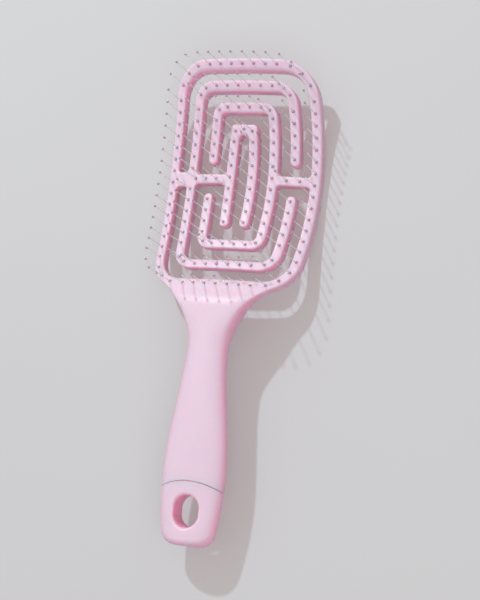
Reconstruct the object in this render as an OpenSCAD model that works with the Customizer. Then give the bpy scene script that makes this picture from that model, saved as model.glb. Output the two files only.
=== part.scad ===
// Vented detangling brush: a curved head of winding rails that carry ball-tipped pins,
// on a waisted handle with an end cap and a hanging hole.
// It lies on its back: X across, Y from the handle's end to the top of the head, Z along the pins.

/* [Head] */
// Half the width of the head, to the middle of its rim
head_half_w = 37.5; // [35:0.5:40]
// Length of the head above its lowest point, along the curve, to the middle of the rim
head_top_s = 60.2; // [57:0.2:64]
// Length of the head below its lowest point, along the curve, to the middle of the rim
head_bottom_s = 54.9; // [53:0.1:58]
// Radius of the face's hollow curve along the head
head_arc_r = 107; // [100:1:130]
// Radius of the face's dome across the head
dome_r = 180; // [150:5:260]
// Radius of the bulging sides, seen from the front
side_r = 380; // [320:10:500]

/* [Rails] */
// Width of a rail
rail_w = 4.8; // [4.4:0.1:5.4]
// Depth of a rail with its back cover
rail_depth = 6.5; // [6:0.1:8]
// Half the width of the middle hairpin, to the middle of its rail
hairpin_half_w = 5.7; // [5.2:0.1:6.4]
// Distance between rails at the top of the head, along the curve
top_step = 10.7; // [10:0.1:11.2]
// Distance between rails at the bottom of the head, along the curve
bottom_step = 11.9; // [11.2:0.1:12.4]
// Corner radius of the rim, at its middle line
rim_corner_r = 15; // [13:0.5:17]
// Corner radius of the second ring, at its middle line
ring_corner_r = 8; // [6:0.5:10]
// Corner radius of the third ring, at its middle line
inner_corner_r = 4.5; // [4:0.5:6]
// Corner radius of the middle hairpin, at its middle line
hairpin_corner_r = 4.9; // [4:0.1:4.9]
// Place of the two crossbars above the lowest point, along the curve
bar_s = 3.4; // [1:0.2:6]
// Distance from a crossbar to the free ends of the rails beside it
free_end_gap = 7.4; // [6.4:0.2:9]
// Length of the hairpin's legs below the lowest point, along the curve
hairpin_leg_s = 19.2; // [17:0.2:20.6]
// Width of the smooth web between the rim and the left crossbar
web_w = 7.4; // [6:0.2:10]
// Radius of the corners where a crossbar meets a rail
joint_r = 1.8; // [1:0.1:2.4]

/* [Pins] */
// Distance between pins along a rail
pin_pitch = 5.85; // [5.6:0.05:6]
// Length of a pin above the face, to the middle of its ball
pin_l = 16.6; // [14:0.2:20]
// Diameter of a pin's shaft
pin_d = 0.9; // [0.7:0.05:1.1]
// Diameter of a pin's ball tip
ball_d = 1.6; // [1.3:0.1:2]
// Diameter of the holes that the pins stand in
pin_hole_d = 1.2; // [1.15:0.05:1.4]
// Width of the strips that carry the pins
strip_w = 2.2; // [2:0.1:2.4]
// Thickness of the strips that carry the pins
strip_t = 1.4; // [1.2:0.1:1.6]
// Gap between the ends of two strips
strip_gap = 0.5; // [0.3:0.1:0.8]
// Place of the lowest pin on the rim's sides, below the head's lowest point, along the curve
rim_pins_s = 39; // [38:0.2:40]
// Place of the lowest pin on the upper arm's left side, above the head's lowest point
upper_left_s = 8.8; // [8.4:0.1:9.4]
// Place of the lowest pin on the upper arm's right side, above the head's lowest point
upper_right_s = 14; // [13.6:0.1:14.6]
// Place of the lowest pin on the lower arm's left side, below the head's lowest point
lower_left_s = 31; // [30.4:0.1:31.4]
// Place of the lowest pin on the lower arm's right side, below the head's lowest point
lower_right_s = 30.4; // [30:0.1:31]
// Place of the lowest pin above the gap of the third ring, above the head's lowest point
inner_upper_s = 14.8; // [14:0.1:15]
// Place of the lowest pin on the third ring's lower left, below the head's lowest point
inner_lower_s = 24.6; // [24.4:0.1:25]
// Place of the lowest pin on the third ring's right side, below the head's lowest point
inner_right_s = 25; // [24.6:0.1:25.2]

/* [Back cover] */
// Thickness of the face above the channel for the strips
skin_t = 1.5; // [1.2:0.1:1.8]
// Thickness of the back cover's plate
cover_t = 1.5; // [1.2:0.1:1.8]
// Clearance between the strips or the cover's rib and the channel's walls
channel_gap = 0.15; // [0.1:0.05:0.25]
// Gap between the back cover and the rail that it closes
cover_gap = 0.1; // [0.05:0.05:0.2]

/* [Neck and handle] */
// Length from the head's lowest point to the end of the handle
tail_l = 177; // [170:0.5:190]
// Half the width of the neck, where it is narrowest
neck_half_w = 10; // [9:0.1:12]
// Distance from the head's lowest point to the narrowest place
neck_narrow_l = 85.5; // [82:0.5:90]
// Thickness of the neck
neck_t = 12; // [11:0.5:15]
// Length of the slope between the head and the neck's crest
slope_l = 1.5; // [1:0.5:5]
// Radius of the neck's crest, seen from the side
crest_r = 9; // [6:0.5:14]
// Half the width of the grip, where it is widest
grip_half_w = 15.7; // [14:0.1:18]
// Distance from the head's lowest point to the widest place
grip_wide_l = 145; // [140:1:150]
// Radius of the grip's arch, seen from the side
grip_arc_r = 1500; // [1200:50:2500]
// Depth of the hollow in the handle behind the cap's plug
hollow_l = 42; // [30:1:48]

/* [End cap] */
// Distance from the handle's end to the top of the cap's arched seam
cap_l = 29.4; // [26:0.2:32]
// Radius of the arched seam
seam_r = 36; // [30:1:48]
// Width of the open seam between the cap and the handle
seam_gap = 0.25; // [0.1:0.05:0.4]
// Half the width of the handle's end
end_half_w = 12.4; // [12:0.1:14]
// Thickness of the handle's end
end_t = 13.8; // [13:0.2:16]
// Corner radius of the end, seen from the front
end_corner_r = 6; // [4:0.2:7]
// Corner radius of the end, seen from the side
end_edge_r = 2.8; // [2:0.2:4]
// Distance from the handle's end to the middle of the hanging hole
hole_end_l = 16; // [15.4:0.2:17]
// Width of the hanging hole
hole_w = 12.4; // [11:0.2:13]
// Length of the hanging hole
hole_l = 15.2; // [13.6:0.2:16]
// Radius of the rounded edge round the hanging hole
hole_edge_r = 1.5; // [1:0.1:2]
// Width of the plug that holds the cap in the handle
plug_w = 17; // [14:0.5:19]
// Thickness of the plug
plug_t = 7.4; // [6:0.2:8]
// Length of the plug
plug_l = 11; // [8:0.5:14]
// Clearance round the plug
plug_gap = 0.15; // [0.1:0.05:0.3]

/* [Hidden] */
$fn = 64;
// Faces of the large curves of the head
arc_fn = 240;
// Overrun of cuts
eps = 0.5;
// Extra radius with which a fillet's arc crosses the edges that it joins
arc_over = 0.03;

// Numbers of the rails, from the rim inwards
rim_index = 0;
arm_index = 1;
inner_index = 2;
hairpin_index = 3;
corner_r = [rim_corner_r, ring_corner_r, inner_corner_r, hairpin_corner_r];
// Angle at which the strips of neighbouring sides part in a corner of each rail
corner_split = [45, 45, 8, 8];

frame_depth = rail_depth - cover_t;
// Distance between rails across the head, middle to middle
ring_step = (head_half_w - hairpin_half_w) / hairpin_index;
channel_w = strip_w + 2 * channel_gap;
head_half_out = head_half_w + rail_w / 2;
head_top_y = plan(head_top_s) + rail_w / 2;
head_bottom_y = plan(head_bottom_s) + rail_w / 2;
// Place of the head's lowest point, so that the whole brush is centred along Y
datum_y = (tail_l - head_top_y) / 2;
// Height of the axis of the head's curve
axis_z = head_arc_r + dome(head_half_out) + rail_depth;
bar_y = plan(bar_s);
side_c = head_half_w - side_r;

// Places on the head, in the plan view, measured from its lowest point
function plan(s) = head_arc_r * sin(s / head_arc_r * 180 / PI);
function dome(x) = dome_r - sqrt(dome_r * dome_r - x * x);
function face_z(x, y) = axis_z - sqrt(pow(head_arc_r + dome(x), 2) - y * y);
function side_rad(i) = side_r - i * ring_step;
function side_x(i, y) = side_c + sqrt(pow(side_rad(i), 2) - y * y);
function top_y(i) = plan(head_top_s - i * top_step);
function bottom_y(i) = -plan(head_bottom_s - min(i, inner_index) * bottom_step);
function end_y(i, up) = up ? top_y(i) : bottom_y(i);
function corner_y(i, up) = end_y(i, up) - (up ? 1 : -1) * corner_r[i];
function corner_x(i, up) = side_c + sqrt(pow(side_rad(i) - corner_r[i], 2) - pow(corner_y(i, up), 2));
function corner_pin(i, sx, up, a) = [
    sx * (corner_x(i, up) + corner_r[i] * cos(a)),
    corner_y(i, up) + (up ? 1 : -1) * corner_r[i] * sin(a)
];

// Rows of pins, as places in the plan view
function side_row(i, sx, s0, count) = [
    for (k = [0 : count - 1]) let(y = plan(s0 + k * pin_pitch)) [sx * side_x(i, y), y]
];
// Rows across the head: a pin's distance to the next as a share of the rail's straight end
top_pitch_shares = [0.146, 0.175, 0.286, 0];
bottom_pitch_shares = [0.142, 0.169, 0.27, 0];
function end_pitch(i, up) = 2 * corner_x(i, up) * (up ? top_pitch_shares[i] : bottom_pitch_shares[i]);
function end_row(i, up, count) = [
    for (k = [0 : count - 1]) [(k - (count - 1) / 2) * end_pitch(i, up), end_y(i, up)]
];
// Rows along a crossbar, between the middle lines of two rails
function bar_row(x0, x1, shares) = [for (share = shares) [x0 + share * (x1 - x0), bar_y]];
// Pins in one corner, or in the two corners of an end
function corner_row(i, sx, up, angles) = [for (a = angles) corner_pin(i, sx, up, a)];
function corner_pair(i, up, angles) = concat(
    corner_row(i, -1, up, angles), corner_row(i, 1, up, angles)
);

module body_pink() { color([0.90, 0.74, 0.83]) children(); }
module pin_pink() { color([0.93, 0.80, 0.86]) children(); }

// Middle region that a rail encloses, grown by d
module rail_region(i, d) {
    r = side_rad(i) + d;
    rc = corner_r[i] + d;
    reach = r / (side_rad(i) - corner_r[i]);
    xt = corner_x(i, true);
    xb = corner_x(i, false);
    yt = corner_y(i, true);
    yb = corner_y(i, false);
    intersection() {
        translate([side_c, 0]) circle(r, $fn = arc_fn * 4);
        translate([-side_c, 0]) circle(r, $fn = arc_fn * 4);
        union() {
            translate([-head_half_w * 2, yb * reach])
                square([head_half_w * 4, (yt - yb) * reach]);
            translate([-xt, 0]) square([2 * xt, yt + rc]);
            translate([-xb, yb - rc]) square([2 * xb, rc - yb]);
            for (sx = [-1, 1]) {
                translate([sx * xt, yt]) circle(rc);
                translate([sx * xb, yb]) circle(rc);
            }
        }
    }
}

module rail_ring(i, w) {
    difference() {
        rail_region(i, w / 2);
        rail_region(i, -w / 2);
    }
}

// A ring that is cut open on one side, where a crossbar passes
module open_ring(i, sx, w, round_ends = true) {
    y0 = bar_y - free_end_gap - rail_w / 2;
    y1 = bar_y + free_end_gap + rail_w / 2;
    difference() {
        rail_ring(i, w);
        translate([sx > 0 ? 0 : -head_half_w, y0]) square([head_half_w, y1 - y0]);
    }
    if (round_ends) for (y = [y0, y1]) translate([sx * side_x(i, y), y]) circle(w / 2);
}

module hairpin(w) {
    y0 = -plan(hairpin_leg_s);
    difference() {
        rail_ring(hairpin_index, w);
        translate([-head_half_w, y0 - head_bottom_s]) square([2 * head_half_w, head_bottom_s]);
    }
    for (sx = [-1, 1]) translate([sx * side_x(hairpin_index, y0), y0]) circle(w / 2);
}

// Bar between two places on the line of the crossbars
module bar(x0, x1, w) {
    translate([x0, bar_y - w / 2]) square([x1 - x0, w]);
}

module channels(w) {
    rail_ring(rim_index, w);
    open_ring(arm_index, 1, w);
    open_ring(inner_index, -1, w);
    hairpin(w);
    bar(-side_x(arm_index, bar_y), -side_x(hairpin_index, bar_y), w);
    bar(side_x(inner_index, bar_y), side_x(rim_index, bar_y), w);
}

// Fillet in a corner between a bar and a rail
module fillet(x, y, sx, sy) {
    translate([x, y]) mirror([sx < 0 ? 1 : 0, 0]) mirror([0, sy < 0 ? 1 : 0]) difference() {
        translate([-joint_r, -joint_r]) square(2 * joint_r);
        translate([joint_r, joint_r]) circle(joint_r + arc_over);
    }
}

module bar_fillets(i, sx, side, w) {
    for (sy = [-1, 1]) {
        y = bar_y + sy * w / 2;
        fillet(sx * side_x(i, y) + side * rail_w / 2, y, side, sy);
    }
}

// Smooth corners between the rim and the neck's sides
module shoulders() {
    y1 = head_bottom_y + slope_l / 2;
    difference() {
        translate([-join_x, -y1]) square([2 * join_x, y1 - join_v]);
        for (sx = [-1, 1]) translate([sx * (neck_half_w + neck_side_r), -neck_narrow_l])
            circle(neck_side_r + arc_over, $fn = arc_fn);
    }
}

module rails() {
    channels(rail_w);
    bar(-side_x(rim_index, bar_y), -side_x(arm_index, bar_y), web_w);
    bar_fillets(rim_index, -1, 1, web_w);
    bar_fillets(arm_index, -1, -1, web_w);
    bar_fillets(arm_index, -1, 1, rail_w);
    bar_fillets(hairpin_index, -1, -1, rail_w);
    bar_fillets(inner_index, 1, 1, rail_w);
    bar_fillets(rim_index, 1, -1, rail_w);
}

// Part of the head's curved shell between two depths below the face
module shell(d0, d1) {
    band = head_half_out + eps;
    translate([0, datum_y, axis_z]) rotate([0, 90, 0])
        rotate_extrude($fn = arc_fn) intersection() {
            difference() {
                translate([head_arc_r + dome_r + d0, 0]) circle(dome_r, $fn = arc_fn * 2);
                translate([head_arc_r + dome_r + d1, 0]) circle(dome_r, $fn = arc_fn * 2);
            }
            translate([head_arc_r + min(d0, 0), -band])
                square([dome(band) + rail_depth + 2 * eps, 2 * band]);
        }
}

module head_extrude() {
    translate([0, datum_y, -eps])
        linear_extrude(height = face_z(0, head_top_y) + 2 * eps) children();
}

// Sections of the handle: v is the distance from the head's lowest point
function smooth(t) = let(u = max(0, min(1, t))) u * u * (3 - 2 * u);
neck_corner_y = -corner_y(rim_index, false);
neck_corner_x = corner_x(rim_index, false);
rim_out_r = corner_r[rim_index] + rail_w / 2;
neck_drop = neck_narrow_l - neck_corner_y;
neck_shift = neck_corner_x - neck_half_w;
// Radius of the neck's side, which runs smoothly into the rim's corner
neck_side_r = (neck_shift * neck_shift + neck_drop * neck_drop - rim_out_r * rim_out_r)
    / (2 * (rim_out_r + neck_shift));
neck_join = rim_out_r / (rim_out_r + neck_side_r);
// Where the neck's side leaves the rim's corner
join_v = neck_corner_y + neck_join * neck_drop;
join_x = neck_corner_x + neck_join * (neck_half_w + neck_side_r - neck_corner_x);
// Where the handle's sections begin, in the rim's outer wall
first_v = head_bottom_y - (rail_w - channel_w) / 5;
slope_a = asin(head_bottom_y / head_arc_r);
crest_v = head_bottom_y + slope_l + crest_r * sin(slope_a);
slope_z = face_z(0, head_bottom_y) + slope_l * tan(slope_a);
crest_z = slope_z + crest_r * (1 - cos(slope_a));

function neck_arc_x(v) = neck_half_w + neck_side_r - sqrt(pow(neck_side_r, 2) - pow(neck_narrow_l - v, 2));
// How soon the grip widens past the neck: a low number widens it sooner
rise_power = 0.9;
function rise(v) = smooth(pow(max(0, v - neck_narrow_l) / (grip_wide_l - neck_narrow_l), rise_power));
function grip_x(v) = neck_half_w + (grip_half_w - neck_half_w) * rise(v);
function tail_x(v) = grip_half_w
    - (grip_half_w - end_half_w) * pow((v - grip_wide_l) / (tail_l - grip_wide_l), 2);
function half_w(v) = v < neck_narrow_l ? neck_arc_x(v) : v < grip_wide_l ? grip_x(v) : tail_x(v);
function front_z(v) =
    v < head_bottom_y ? face_z(0, v) :
    v < head_bottom_y + slope_l ? face_z(0, head_bottom_y) + (v - head_bottom_y) * tan(slope_a) :
    v < crest_v ? slope_z - crest_r * cos(slope_a)
        + sqrt(pow(crest_r, 2) - pow(head_bottom_y + slope_l + crest_r * sin(slope_a) - v, 2)) :
    crest_z - grip_arc_r + sqrt(pow(grip_arc_r, 2) - pow(v - crest_v, 2));
root_t = rail_depth / cos(slope_a);
full_neck_v = crest_v + crest_r;
function thick(v) = v < full_neck_v
    ? root_t + (neck_t - root_t) * smooth((v - first_v) / (full_neck_v - first_v))
    : neck_t + (end_t - neck_t) * smooth((v - full_neck_v) / (tail_l - full_neck_v));
// Rounding of the section: a high number is boxy
root_power = 3.4;
grip_power = 2.6;
function power_at(v) = root_power
    + (grip_power - root_power) * smooth((v - first_v) / (full_neck_v - first_v));
// How far the rounded end of radius r draws the surface in
function end_round(v, r) = r - sqrt(max(0, r * r - pow(max(0, v - tail_l + r), 2)));
function signed_pow(c, p) = sign(c) * pow(abs(c), p);
section_n = 40;
function section(v) =
    let(hx = half_w(v) - end_round(v, end_corner_r), p = 2 / power_at(v))
    let(hz = thick(v) / 2 - end_round(v, end_edge_r), mz = front_z(v) - thick(v) / 2)
    [for (k = [0 : section_n - 1])
        let(a = 360 * (k + 0.5) / section_n, x = hx * signed_pow(cos(a), p))
        [x, datum_y - v, mz + hz * signed_pow(sin(a), p) - dome(x)]];
neck_rings = 14;
grip_rings = 24;
end_rings = 10;
function station(k) =
    k < neck_rings ? first_v + (neck_narrow_l - first_v) * k / neck_rings :
    k < neck_rings + grip_rings
        ? neck_narrow_l + (tail_l - end_corner_r - neck_narrow_l) * (k - neck_rings) / grip_rings :
    tail_l - end_corner_r * (1 - sin(90 * (k - neck_rings - grip_rings) / end_rings));
ring_n = neck_rings + grip_rings + end_rings + 1;

// The whole handle, with the cap, lofted through its sections
module handle_loft() {
    points = [for (k = [0 : ring_n - 1]) each section(station(k))];
    start = [for (j = [1 : section_n - 2]) [0, j, j + 1]];
    sides = [for (k = [0 : ring_n - 2]) for (j = [0 : section_n - 1])
        let(a = k * section_n + j, b = k * section_n + (j + 1) % section_n)
        each [[a, a + section_n, b + section_n], [a, b + section_n, b]]];
    last = (ring_n - 1) * section_n;
    finish = [for (j = [1 : section_n - 2]) [last, last + j + 1, last + j]];
    polyhedron(points, concat(start, sides, finish));
}

// Everything on the cap's side of the arched seam
module seam_cut(gap) {
    translate([0, datum_y - tail_l + cap_l - seam_r, -eps])
        cylinder(r = seam_r + gap, h = crest_z + 2 * eps, $fn = arc_fn);
}

// Middle line of the handle at the seam, where the plug sits, and its slope there
seam_v = tail_l - cap_l;
seam_slope = asin((seam_v - crest_v) / grip_arc_r);
module at_seam() {
    translate([0, datum_y - seam_v, front_z(seam_v) - thick(seam_v) / 2])
        rotate([seam_slope - 90, 0, 0]) children();
}

module oblong(w, t) {
    square([w - t, t], center = true);
    for (sx = [-1, 1]) translate([sx * (w - t) / 2, 0]) circle(t / 2);
}

// Head of the frame: the rails' face and sides, open at the back for the pin strips
module frame_head() {
    difference() {
        intersection() {
            head_extrude() {
                rails();
                shoulders();
            }
            shell(0, frame_depth);
        }
        intersection() {
            head_extrude() channels(channel_w);
            shell(skin_t, rail_depth + 2 * eps);
        }
        for (p = all_pins()) translate([p[0], datum_y + p[1], 0])
            cylinder(d = pin_hole_d, h = face_z(0, head_top_y) + eps, $fn = 24);
    }
}

// Hollow handle, open at the arched seam
module frame_handle() {
    difference() {
        handle_loft();
        seam_cut(seam_gap);
        at_seam() translate([0, 0, -cap_l]) linear_extrude(height = hollow_l + cap_l)
            oblong(plug_w + 2 * plug_gap, plug_t + 2 * plug_gap);
    }
}

module frame() {
    body_pink() {
        frame_head();
        frame_handle();
    }
}

module back_cover() {
    body_pink() {
        intersection() {
            head_extrude() difference() {
                rails();
                // The neck closes the rim's bottom rail behind this line
                translate([-head_half_w, -first_v + cover_gap - head_bottom_y])
                    square([2 * head_half_w, head_bottom_y]);
            }
            shell(frame_depth + cover_gap, rail_depth);
        }
        intersection() {
            head_extrude() channels(strip_w);
            shell(skin_t + strip_t + cover_gap, frame_depth + 2 * cover_gap);
        }
    }
}

// Hanging hole: an oblong with a rounded edge at each face
hole_v = tail_l - hole_end_l;
hole_slope = asin((hole_v - crest_v) / grip_arc_r);
module hole_profile() {
    r = hole_w / 2;
    flat = thick(hole_v) / 2 - hole_edge_r;
    difference() {
        translate([0, -end_t]) square([r + hole_edge_r, 2 * end_t]);
        translate([r, -flat]) square([2 * hole_edge_r, 2 * flat]);
        for (sy = [-1, 1]) translate([r + hole_edge_r, sy * flat]) circle(hole_edge_r);
    }
}

module hole_cut() {
    run = (hole_l - hole_w) / 2;
    translate([0, datum_y - hole_v, front_z(hole_v) - thick(hole_v) / 2])
        rotate([hole_slope, 0, 0]) {
            for (sy = [-1, 1]) translate([0, sy * run, 0]) rotate_extrude() hole_profile();
            translate([0, run, 0]) rotate([90, 0, 0]) linear_extrude(height = 2 * run) {
                hole_profile();
                mirror([1, 0]) hole_profile();
            }
        }
}

module end_cap() {
    body_pink() difference() {
        union() {
            intersection() {
                handle_loft();
                seam_cut(0);
            }
            at_seam() translate([0, 0, -cap_l / 3]) linear_extrude(height = plug_l + cap_l / 3)
                oblong(plug_w, plug_t);
        }
        hole_cut();
    }
}

// Pins and the strips that carry them
module pin_at(p) {
    z = face_z(p[0], p[1]);
    translate([p[0], datum_y + p[1], z - skin_t - strip_t / 2])
        cylinder(d = pin_d, h = pin_l + skin_t + strip_t / 2, $fn = 16);
    translate([p[0], datum_y + p[1], z + pin_l]) sphere(d = ball_d, $fn = 20);
}

module strip(pins) {
    intersection() {
        head_extrude() children();
        shell(skin_t + channel_gap / 3, skin_t + strip_t);
    }
    for (p = pins) pin_at(p);
}

// Half plane masks that part a rail into its sides
module corner_rays(i) {
    for (sx = [-1, 1]) for (up = [true, false])
        translate([sx * corner_x(i, up), corner_y(i, up)])
            mirror([sx < 0 ? 1 : 0, 0]) mirror([0, up ? 0 : 1])
                rotate(corner_split[i]) translate([0, -strip_gap / 2])
                    square([head_half_w, strip_gap]);
}

module side_mask(i, sx) {
    far = head_half_w;
    a = corner_split[i];
    xt = corner_x(i, true);
    xb = corner_x(i, false);
    yt = corner_y(i, true);
    yb = corner_y(i, false);
    mirror([sx < 0 ? 1 : 0, 0]) polygon([
        [0, yt], [xt, yt], [xt + far * cos(a), yt + far * sin(a)],
        [xb + far * cos(a), yb - far * sin(a)], [xb, yb], [0, yb]
    ]);
}

module end_mask(i, up) {
    far = head_half_w;
    a = corner_split[i];
    x = corner_x(i, up);
    y = corner_y(i, up);
    k = up ? 1 : -1;
    polygon([
        [-x, y], [-x - far * cos(a), y + k * far * sin(a)],
        [x + far * cos(a), y + k * far * sin(a)], [x, y]
    ]);
}

module side_strip(i, sx) {
    difference() {
        intersection() {
            channels_of(i);
            side_mask(i, sx);
        }
        corner_rays(i);
    }
}

module end_strip(i, up) {
    difference() {
        intersection() {
            channels_of(i);
            end_mask(i, up);
        }
        corner_rays(i);
    }
}

module channels_of(i) {
    if (i == rim_index) rail_ring(rim_index, strip_w);
    if (i == arm_index) open_ring(arm_index, 1, strip_w, false);
    if (i == inner_index) open_ring(inner_index, -1, strip_w, false);
    if (i == hairpin_index) hairpin(strip_w);
}

// Half of a side above or below the crossbars
module half(up) {
    intersection() {
        children();
        translate([-head_half_w * 2, bar_y + (up ? strip_gap / 2 : -strip_gap / 2 - head_top_s * 2)])
            square([head_half_w * 4, head_top_s * 2]);
    }
}

// Strip in a crossbar, between the strips of two rails
module bar_strip(i, sx, j) {
    end_gap = strip_w / 2 + strip_gap;
    xa = sx * side_x(i, bar_y);
    xb = sx * side_x(j, bar_y);
    bar(min(xa, xb) + end_gap, max(xa, xb) - end_gap, strip_w);
}

// Places of the crossbars' pins between the rails that a bar joins
left_bar_shares = [0.122, 0.391, 0.66];
right_bar_shares = [0.345, 0.656];
// Number of pins in each straight row
rim_side_n = 15;
rim_end_n = 7;
arm_left_n = 6;
arm_right_n = 5;
arm_end_n = 6;
inner_left_n = 4;
inner_right_n = 11;
inner_end_n = 4;
hairpin_leg_n = 8;
// Angles of the pins in the corners, from the side towards the end
rim_side_corner = [26];
rim_end_corner = [50, 74];
arm_side_corner = [32];
arm_end_corner = [62];
inner_corner = [48];
hairpin_corner = [40];

function pins_rim_side(sx) = concat(
    side_row(rim_index, sx, -rim_pins_s, rim_side_n),
    corner_row(rim_index, sx, true, rim_side_corner),
    corner_row(rim_index, sx, false, rim_side_corner)
);
function pins_rim_end(up) = concat(
    end_row(rim_index, up, rim_end_n), corner_pair(rim_index, up, rim_end_corner)
);
function pins_arm_side(sx, up, s0, count) = concat(
    side_row(arm_index, sx, s0, count), corner_row(arm_index, sx, up, arm_side_corner)
);
function pins_upper_left() = pins_arm_side(-1, true, upper_left_s, arm_left_n);
function pins_upper_right() = pins_arm_side(1, true, upper_right_s, arm_right_n);
function pins_lower_left() = pins_arm_side(-1, false, -lower_left_s, arm_left_n);
function pins_lower_right() = pins_arm_side(1, false, -lower_right_s, arm_right_n);
function pins_arm_end(up) = concat(
    end_row(arm_index, up, arm_end_n), corner_pair(arm_index, up, arm_end_corner)
);
function pins_inner_upper() = side_row(inner_index, -1, inner_upper_s, inner_left_n);
function pins_inner_lower() = side_row(inner_index, -1, -inner_lower_s, inner_left_n);
function pins_inner_right() = side_row(inner_index, 1, -inner_right_s, inner_right_n);
function pins_inner_end(up) = concat(
    end_row(inner_index, up, inner_end_n), corner_pair(inner_index, up, inner_corner)
);
function pins_hairpin_leg(sx) = side_row(hairpin_index, sx, -hairpin_leg_s, hairpin_leg_n);
function pins_hairpin_top() = concat(
    end_row(hairpin_index, true, 1), corner_pair(hairpin_index, true, hairpin_corner)
);
function pins_left_bar() = bar_row(
    -side_x(arm_index, bar_y), -side_x(hairpin_index, bar_y), left_bar_shares
);
function pins_right_bar() = bar_row(
    side_x(inner_index, bar_y), side_x(rim_index, bar_y), right_bar_shares
);
function all_pins() = concat(
    pins_rim_side(-1), pins_rim_side(1), pins_rim_end(true), pins_rim_end(false),
    pins_upper_left(), pins_upper_right(), pins_arm_end(true),
    pins_lower_left(), pins_lower_right(), pins_arm_end(false),
    pins_inner_upper(), pins_inner_lower(), pins_inner_right(),
    pins_inner_end(true), pins_inner_end(false),
    pins_hairpin_leg(-1), pins_hairpin_leg(1), pins_hairpin_top(),
    pins_left_bar(), pins_right_bar()
);

module pin_strip_rim_left() {
    pin_pink() strip(pins_rim_side(-1)) side_strip(rim_index, -1);
}

module pin_strip_rim_top() {
    pin_pink() strip(pins_rim_end(true)) end_strip(rim_index, true);
}

module pin_strip_rim_right() {
    pin_pink() strip(pins_rim_side(1)) side_strip(rim_index, 1);
}

module pin_strip_rim_bottom() {
    pin_pink() strip(pins_rim_end(false)) end_strip(rim_index, false);
}

module pin_strip_upper_arm_left() {
    pin_pink() strip(pins_upper_left()) half(true) side_strip(arm_index, -1);
}

module pin_strip_upper_arm_top() {
    pin_pink() strip(pins_arm_end(true)) end_strip(arm_index, true);
}

module pin_strip_upper_arm_right() {
    pin_pink() strip(pins_upper_right()) half(true) side_strip(arm_index, 1);
}

module pin_strip_lower_arm_left() {
    pin_pink() strip(pins_lower_left()) half(false) side_strip(arm_index, -1);
}

module pin_strip_lower_arm_bottom() {
    pin_pink() strip(pins_arm_end(false)) end_strip(arm_index, false);
}

module pin_strip_lower_arm_right() {
    pin_pink() strip(pins_lower_right()) half(false) side_strip(arm_index, 1);
}

module pin_strip_ring_upper_left() {
    pin_pink() strip(pins_inner_upper()) half(true) side_strip(inner_index, -1);
}

module pin_strip_ring_top() {
    pin_pink() strip(pins_inner_end(true)) end_strip(inner_index, true);
}

module pin_strip_ring_right() {
    pin_pink() strip(pins_inner_right()) side_strip(inner_index, 1);
}

module pin_strip_ring_bottom() {
    pin_pink() strip(pins_inner_end(false)) end_strip(inner_index, false);
}

module pin_strip_ring_lower_left() {
    pin_pink() strip(pins_inner_lower()) half(false) side_strip(inner_index, -1);
}

module pin_strip_hairpin_left() {
    pin_pink() strip(pins_hairpin_leg(-1)) side_strip(hairpin_index, -1);
}

module pin_strip_hairpin_top() {
    pin_pink() strip(pins_hairpin_top()) end_strip(hairpin_index, true);
}

module pin_strip_hairpin_right() {
    pin_pink() strip(pins_hairpin_leg(1)) side_strip(hairpin_index, 1);
}

module pin_strip_left_bar() {
    pin_pink() strip(pins_left_bar()) bar_strip(arm_index, -1, hairpin_index);
}

module pin_strip_right_bar() {
    pin_pink() strip(pins_right_bar()) bar_strip(inner_index, 1, rim_index);
}

frame();
back_cover();
end_cap();
pin_strip_rim_left();
pin_strip_rim_top();
pin_strip_rim_right();
pin_strip_rim_bottom();
pin_strip_upper_arm_left();
pin_strip_upper_arm_top();
pin_strip_upper_arm_right();
pin_strip_lower_arm_left();
pin_strip_lower_arm_bottom();
pin_strip_lower_arm_right();
pin_strip_ring_upper_left();
pin_strip_ring_top();
pin_strip_ring_right();
pin_strip_ring_bottom();
pin_strip_ring_lower_left();
pin_strip_hairpin_left();
pin_strip_hairpin_top();
pin_strip_hairpin_right();
pin_strip_left_bar();
pin_strip_right_bar();
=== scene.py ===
from math import asin, cos, radians, sin, sqrt, tan

import bpy
import numpy as np
from mathutils import Matrix, Vector


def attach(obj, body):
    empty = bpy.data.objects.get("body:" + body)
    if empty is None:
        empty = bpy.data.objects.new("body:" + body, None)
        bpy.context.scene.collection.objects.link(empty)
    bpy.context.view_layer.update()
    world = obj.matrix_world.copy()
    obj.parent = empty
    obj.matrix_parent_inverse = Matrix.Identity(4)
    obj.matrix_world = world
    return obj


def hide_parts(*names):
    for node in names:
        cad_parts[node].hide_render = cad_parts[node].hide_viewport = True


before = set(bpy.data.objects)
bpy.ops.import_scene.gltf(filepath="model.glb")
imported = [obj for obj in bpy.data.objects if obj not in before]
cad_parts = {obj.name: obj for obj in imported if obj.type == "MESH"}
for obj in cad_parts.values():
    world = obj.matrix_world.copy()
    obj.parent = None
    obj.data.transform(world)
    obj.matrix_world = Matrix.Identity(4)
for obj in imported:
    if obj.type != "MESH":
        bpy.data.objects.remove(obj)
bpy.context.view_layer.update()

MM = 0.001

# The head's sizes, in millimetres. A name in _S is a length along the face's arc
HEAD_HALF_W = 37.5
HEAD_TOP_S = 60.2
HEAD_BOTTOM_S = 54.9
HEAD_ARC_R = 107.0
DOME_R = 180.0
SIDE_R = 380.0
RAIL_W = 4.8
RAIL_DEPTH = 6.5
TOP_STEP = 10.7
BOTTOM_STEP = 11.9
CORNER_R = (15.0, 8.0, 4.5, 4.9)
BAR_S = 3.4
FREE_END_GAP = 7.4
HAIRPIN_HALF_W = 5.7
HAIRPIN_LEG_S = 19.2
WEB_W = 7.4
JOINT_R = 1.8
COVER_T = 1.5
COVER_GAP = 0.1

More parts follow.
